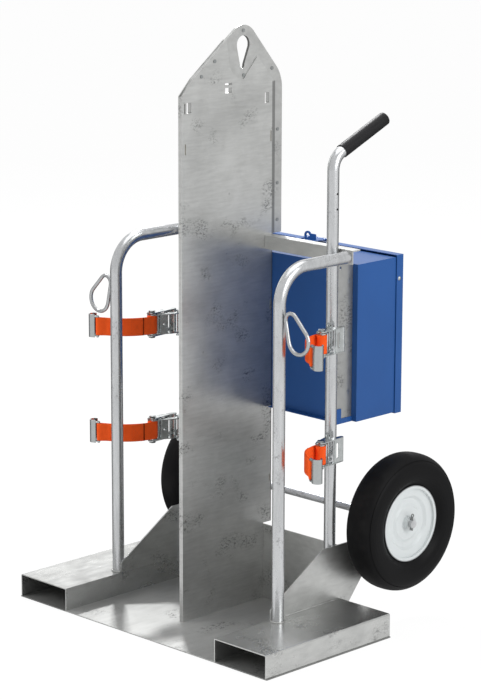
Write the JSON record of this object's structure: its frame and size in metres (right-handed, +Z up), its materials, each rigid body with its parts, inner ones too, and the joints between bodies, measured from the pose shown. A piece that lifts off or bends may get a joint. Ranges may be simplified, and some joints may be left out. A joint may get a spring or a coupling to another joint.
{
  "type": "gas cylinder trolley",
  "caption": "Galvanised tilt-back trolley for gas cylinders with a central fire barrier and lifting eye, fork pockets, ratchet straps, a lidded blue toolbox and foam-filled wheels.",
  "frame": {"origin": "middle of the base plate's underside, on the floor", "axes": "+X is the right side seen from the front, +Y points to the back where the handles are, +Z is up"},
  "size_m": [0.971, 0.844, 1.62],
  "materials": {
    "galvanised": "hot-dip zinc",
    "zinc_plate": "zinc plated",
    "blue_paint": "semi-gloss",
    "pale_paint": "semi-gloss",
    "black_rubber": "matt",
    "orange_webbing": "woven",
    "fire_board": "matt"
  },
  "bodies": {
    "frame": {"base_plate": "galvanised", "pocket_right": "galvanised", "pocket_left": "galvanised", "side_plate_right": "galvanised", "side_plate_left": "galvanised", "back_plate": "galvanised", "skin_right": "galvanised", "skin_left": "galvanised", "core_board": "fire_board", "lift_plate": "galvanised", "barrier_rivets": "zinc_plate", "front_post_right": "galvanised", "front_post_left": "galvanised", "back_post_right": "galvanised", "back_post_left": "galvanised", "grip_right": "black_rubber", "grip_left": "black_rubber", "rod_loop_right": "zinc_plate", "rod_loop_left": "zinc_plate", "rail_right": "galvanised", "rail_left": "galvanised", "standoff_right": "galvanised", "standoff_left": "galvanised", "box_body": "blue_paint", "lid_pin": "zinc_plate", "hasp_eye": "blue_paint", "box_bolts": "zinc_plate", "axle": "zinc_plate", "axle_spacers": "zinc_plate", "cotter_pins": "zinc_plate", "strap_lugs": "zinc_plate"},
    "wheel_right": {"tyre_right": "black_rubber", "rim_right": "pale_paint", "bush_right": "zinc_plate"},
    "wheel_left": {"tyre_left": "black_rubber", "rim_left": "pale_paint", "bush_left": "zinc_plate"},
    "lid": {"box_lid": "blue_paint", "lid_rivets": "zinc_plate"},
    "hasp": {"hasp_flap": "blue_paint"},
    "ratchet_ru": {"frame_ru": "zinc_plate", "web_ru": "orange_webbing"},
    "lever_ru": {"lever_ru": "zinc_plate"},
    "spool_ru": {"spool_ru": "zinc_plate"},
    "hook_ru": {"hook_ru": "zinc_plate"},
    "ratchet_rl": {"frame_rl": "zinc_plate", "web_rl": "orange_webbing"},
    "lever_rl": {"lever_rl": "zinc_plate"},
    "spool_rl": {"spool_rl": "zinc_plate"},
    "hook_rl": {"hook_rl": "zinc_plate"},
    "ratchet_lu": {"frame_lu": "zinc_plate", "web_lu": "orange_webbing"},
    "lever_lu": {"lever_lu": "zinc_plate"},
    "spool_lu": {"spool_lu": "zinc_plate"},
    "hook_lu": {"hook_lu": "zinc_plate"},
    "ratchet_ll": {"frame_ll": "zinc_plate", "web_ll": "orange_webbing"},
    "lever_ll": {"lever_ll": "zinc_plate"},
    "spool_ll": {"spool_ll": "zinc_plate"},
    "hook_ll": {"hook_ll": "zinc_plate"}
  },
  "joints": [
    {"name": "wheel_right_spin", "type": "hinge", "parent": "frame", "child": "wheel_right", "pos_m": [0.366, 0.412, 0.266], "axis": [1, 0, 0], "continuous": true},
    {"name": "wheel_left_spin", "type": "hinge", "parent": "frame", "child": "wheel_left", "pos_m": [-0.366, 0.412, 0.266], "axis": [1, 0, 0], "continuous": true},
    {"name": "lid_hinge", "type": "hinge", "parent": "frame", "child": "lid", "pos_m": [0, 0.4529, 0.544], "axis": [-1, 0, 0], "range_deg": [0, 110]},
    {"name": "hasp_hinge", "type": "hinge", "parent": "lid", "child": "hasp", "pos_m": [-0.009, 0.4609, 1.002], "axis": [-1, 0, 0], "range_deg": [0, 150]},
    {"name": "ratchet_ru_swing", "type": "hinge", "parent": "frame", "child": "ratchet_ru", "pos_m": [0.28888, 0.19527, 0.805], "axis": [0, 0, 1], "range_deg": [0, 35]},
    {"name": "lever_ru_crank", "type": "hinge", "parent": "ratchet_ru", "child": "lever_ru", "pos_m": [0.32706, 0.12497, 0.805], "axis": [0, 0, -1], "range_deg": [-6, 105]},
    {"name": "spool_ru_turn", "type": "hinge", "parent": "ratchet_ru", "child": "spool_ru", "pos_m": [0.32706, 0.12497, 0.805], "axis": [0, 0, 1], "continuous": true},
    {"name": "hook_ru_tilt", "type": "hinge", "parent": "ratchet_ru", "child": "hook_ru", "pos_m": [0.41325, -0.00336, 0.805], "axis": [0, 0, 1], "range_deg": [-10, 40]},
    {"name": "ratchet_rl_swing", "type": "hinge", "parent": "frame", "child": "ratchet_rl", "pos_m": [0.28888, 0.19527, 0.502], "axis": [0, 0, 1], "range_deg": [-12, 35]},
    {"name": "lever_rl_crank", "type": "hinge", "parent": "ratchet_rl", "child": "lever_rl", "pos_m": [0.32706, 0.12497, 0.502], "axis": [0, 0, -1], "range_deg": [-6, 105]},
    {"name": "spool_rl_turn", "type": "hinge", "parent": "ratchet_rl", "child": "spool_rl", "pos_m": [0.32706, 0.12497, 0.502], "axis": [0, 0, 1], "continuous": true},
    {"name": "hook_rl_tilt", "type": "hinge", "parent": "ratchet_rl", "child": "hook_rl", "pos_m": [0.41325, -0.00336, 0.502], "axis": [0, 0, 1], "range_deg": [-40, 40]},
    {"name": "ratchet_lu_swing", "type": "hinge", "parent": "frame", "child": "ratchet_lu", "pos_m": [-0.28888, 0.19527, 0.757], "axis": [0, 0, -1], "range_deg": [-12, 35]},
    {"name": "lever_lu_crank", "type": "hinge", "parent": "ratchet_lu", "child": "lever_lu", "pos_m": [-0.32706, 0.12497, 0.757], "axis": [0, 0, 1], "range_deg": [-6, 105]},
    {"name": "spool_lu_turn", "type": "hinge", "parent": "ratchet_lu", "child": "spool_lu", "pos_m": [-0.32706, 0.12497, 0.757], "axis": [0, 0, -1], "continuous": true},
    {"name": "hook_lu_tilt", "type": "hinge", "parent": "ratchet_lu", "child": "hook_lu", "pos_m": [-0.41325, -0.00336, 0.757], "axis": [0, 0, -1], "range_deg": [-40, 40]},
    {"name": "ratchet_ll_swing", "type": "hinge", "parent": "frame", "child": "ratchet_ll", "pos_m": [-0.28888, 0.19527, 0.451], "axis": [0, 0, -1], "range_deg": [-12, 35]},
    {"name": "lever_ll_crank", "type": "hinge", "parent": "ratchet_ll", "child": "lever_ll", "pos_m": [-0.32706, 0.12497, 0.451], "axis": [0, 0, 1], "range_deg": [-6, 105]},
    {"name": "spool_ll_turn", "type": "hinge", "parent": "ratchet_ll", "child": "spool_ll", "pos_m": [-0.32706, 0.12497, 0.451], "axis": [0, 0, -1], "continuous": true},
    {"name": "hook_ll_tilt", "type": "hinge", "parent": "ratchet_ll", "child": "hook_ll", "pos_m": [-0.41325, -0.00336, 0.451], "axis": [0, 0, -1], "range_deg": [-40, 40]}
  ]
}
